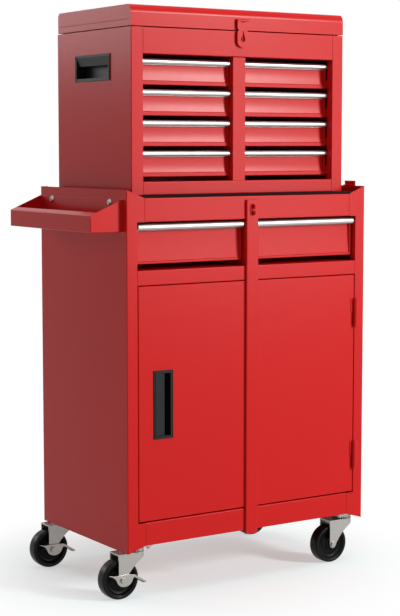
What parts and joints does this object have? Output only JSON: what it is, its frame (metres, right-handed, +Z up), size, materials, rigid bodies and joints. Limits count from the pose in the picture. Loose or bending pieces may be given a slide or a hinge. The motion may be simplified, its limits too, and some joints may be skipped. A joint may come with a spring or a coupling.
{
  "type": "rolling tool cabinet",
  "caption": "Sheet-steel tool cabinet on swivel casters with two drawers over a door, a drawered top chest under a hinged lid, a centre bar and a side shelf tray.",
  "frame": {"origin": "bottom centre of the whole object, on the floor plane under the wheels", "axes": "+Z up, the doors and drawers face -Y, the side tray is towards -X"},
  "size_m": [0.6166, 0.345, 1.092],
  "materials": {
    "red_paint": "glossy powder coat",
    "pull_trim": "satin trim",
    "black_plastic": "moulded, fine grain",
    "zinc_steel": "bright zinc plated",
    "wheel_rubber": "hard moulded rubber"
  },
  "bodies": {
    "cabinet": {"cabinet_left_side": "red_paint", "cabinet_right_side": "red_paint", "cabinet_back": "red_paint", "cabinet_top": "red_paint", "cabinet_floor": "red_paint", "drawer_deck": "red_paint", "drawer_partition": "red_paint", "top_rail": "red_paint", "middle_rail": "red_paint", "bottom_rail": "red_paint", "top_mat": "black_plastic", "drawer_runners": "zinc_steel", "bar_staple": "red_paint", "side_tray": "red_paint", "cabinet_screws": "zinc_steel", "right_side_clip": "red_paint", "caster_plates": "zinc_steel", "door_hinge_leaves": "red_paint"},
    "door": {"door_panel": "red_paint", "door_cup": "black_plastic", "lock_bar": "red_paint", "door_hinge_straps": "red_paint"},
    "left_drawer": {"left_drawer": "red_paint", "left_drawer_pull": "pull_trim"},
    "right_drawer": {"right_drawer": "red_paint", "right_drawer_pull": "pull_trim"},
    "chest": {"chest_wrap": "red_paint", "chest_floor": "red_paint", "till_floor": "red_paint", "chest_bottom_rail": "red_paint", "chest_top_rail": "red_paint", "chest_post": "red_paint", "chest_runners": "zinc_steel", "chest_handle_left": "black_plastic", "chest_handle_right": "black_plastic", "hasp_staple": "red_paint", "lid_hinge_leaf": "red_paint"},
    "lid": {"lid": "red_paint", "lid_hinge_strap": "red_paint", "hasp_leaf": "red_paint"},
    "hasp": {"hasp": "red_paint"},
    "chest_drawer_left_1": {"chest_drawer_left_1": "red_paint"},
    "chest_drawer_right_1": {"chest_drawer_right_1": "red_paint"},
    "chest_drawer_left_2": {"chest_drawer_left_2": "red_paint"},
    "chest_drawer_right_2": {"chest_drawer_right_2": "red_paint"},
    "chest_drawer_left_3": {"chest_drawer_left_3": "red_paint"},
    "chest_drawer_right_3": {"chest_drawer_right_3": "red_paint"},
    "chest_drawer_left_4": {"chest_drawer_left_4": "red_paint"},
    "chest_drawer_right_4": {"chest_drawer_right_4": "red_paint"},
    "caster_fork_front_left": {"caster_fork_front_left": "zinc_steel"},
    "caster_wheel_front_left": {"caster_wheel_front_left": "wheel_rubber"},
    "brake_pedal_front_left": {"brake_pedal_front_left": "zinc_steel"},
    "caster_fork_front_right": {"caster_fork_front_right": "zinc_steel"},
    "caster_wheel_front_right": {"caster_wheel_front_right": "wheel_rubber"},
    "caster_fork_rear_left": {"caster_fork_rear_left": "zinc_steel"},
    "caster_wheel_rear_left": {"caster_wheel_rear_left": "wheel_rubber"},
    "brake_pedal_rear_left": {"brake_pedal_rear_left": "zinc_steel"},
    "caster_fork_rear_right": {"caster_fork_rear_right": "zinc_steel"},
    "caster_wheel_rear_right": {"caster_wheel_rear_right": "wheel_rubber"}
  },
  "joints": [
    {"name": "door_hinge", "type": "hinge", "parent": "cabinet", "child": "door", "pos_m": [0.28375, -0.1629, 0.36325], "axis": [0, 0, 1], "range_deg": [0, 170]},
    {"name": "left_drawer_slide", "type": "slide", "parent": "cabinet", "child": "left_drawer", "axis": [0, -1, 0], "range_m": [0, 0.22]},
    {"name": "right_drawer_slide", "type": "slide", "parent": "cabinet", "child": "right_drawer", "axis": [0, -1, 0], "range_m": [0, 0.22]},
    {"name": "chest_lift", "type": "slide", "parent": "cabinet", "child": "chest", "axis": [0, 0, 1], "range_m": [0, 0.2]},
    {"name": "lid_hinge", "type": "hinge", "parent": "chest", "child": "lid", "pos_m": [0.03275, 0.159, 1.0523], "axis": [-1, 0, 0], "range_deg": [0, 100]},
    {"name": "hasp_hinge", "type": "hinge", "parent": "lid", "child": "hasp", "pos_m": [0.03275, -0.1278, 1.071], "axis": [-1, 0, 0], "range_deg": [0, 170]},
    {"name": "chest_drawer_left_1_slide", "type": "slide", "parent": "chest", "child": "chest_drawer_left_1", "axis": [0, -1, 0], "range_m": [0, 0.18]},
    {"name": "chest_drawer_right_1_slide", "type": "slide", "parent": "chest", "child": "chest_drawer_right_1", "axis": [0, -1, 0], "range_m": [0, 0.18]},
    {"name": "chest_drawer_left_2_slide", "type": "slide", "parent": "chest", "child": "chest_drawer_left_2", "axis": [0, -1, 0], "range_m": [0, 0.18]},
    {"name": "chest_drawer_right_2_slide", "type": "slide", "parent": "chest", "child": "chest_drawer_right_2", "axis": [0, -1, 0], "range_m": [0, 0.18]},
    {"name": "chest_drawer_left_3_slide", "type": "slide", "parent": "chest", "child": "chest_drawer_left_3", "axis": [0, -1, 0], "range_m": [0, 0.18]},
    {"name": "chest_drawer_right_3_slide", "type": "slide", "parent": "chest", "child": "chest_drawer_right_3", "axis": [0, -1, 0], "range_m": [0, 0.18]},
    {"name": "chest_drawer_left_4_slide", "type": "slide", "parent": "chest", "child": "chest_drawer_left_4", "axis": [0, -1, 0], "range_m": [0, 0.18]},
    {"name": "chest_drawer_right_4_slide", "type": "slide", "parent": "chest", "child": "chest_drawer_right_4", "axis": [0, -1, 0], "range_m": [0, 0.18]},
    {"name": "caster_swivel_front_left", "type": "hinge", "parent": "cabinet", "child": "caster_fork_front_left", "pos_m": [-0.21275, -0.13, 0.0867], "axis": [0, 0, 1], "continuous": true},
    {"name": "wheel_spin_front_left", "type": "hinge", "parent": "caster_fork_front_left", "child": "caster_wheel_front_left", "pos_m": [-0.24675, -0.13, 0.038], "axis": [0, 1, 0], "continuous": true},
    {"name": "brake_front_left", "type": "hinge", "parent": "caster_fork_front_left", "child": "brake_pedal_front_left", "pos_m": [-0.24675, -0.148, 0.038], "axis": [0, 1, 0], "range_deg": [0, 18]},
    {"name": "caster_swivel_front_right", "type": "hinge", "parent": "cabinet", "child": "caster_fork_front_right", "pos_m": [0.27825, -0.13, 0.0867], "axis": [0, 0, 1], "continuous": true},
    {"name": "wheel_spin_front_right", "type": "hinge", "parent": "caster_fork_front_right", "child": "caster_wheel_front_right", "pos_m": [0.24425, -0.13, 0.038], "axis": [0, 1, 0], "continuous": true},
    {"name": "caster_swivel_rear_left", "type": "hinge", "parent": "cabinet", "child": "caster_fork_rear_left", "pos_m": [-0.21275, 0.144, 0.0867], "axis": [0, 0, 1], "continuous": true},
    {"name": "wheel_spin_rear_left", "type": "hinge", "parent": "caster_fork_rear_left", "child": "caster_wheel_rear_left", "pos_m": [-0.24675, 0.144, 0.038], "axis": [0, 1, 0], "continuous": true},
    {"name": "brake_rear_left", "type": "hinge", "parent": "caster_fork_rear_left", "child": "brake_pedal_rear_left", "pos_m": [-0.24675, 0.126, 0.038], "axis": [0, 1, 0], "range_deg": [0, 18]},
    {"name": "caster_swivel_rear_right", "type": "hinge", "parent": "cabinet", "child": "caster_fork_rear_right", "pos_m": [0.27825, 0.144, 0.0867], "axis": [0, 0, 1], "continuous": true},
    {"name": "wheel_spin_rear_right", "type": "hinge", "parent": "caster_fork_rear_right", "child": "caster_wheel_rear_right", "pos_m": [0.24425, 0.144, 0.038], "axis": [0, 1, 0], "continuous": true}
  ]
}
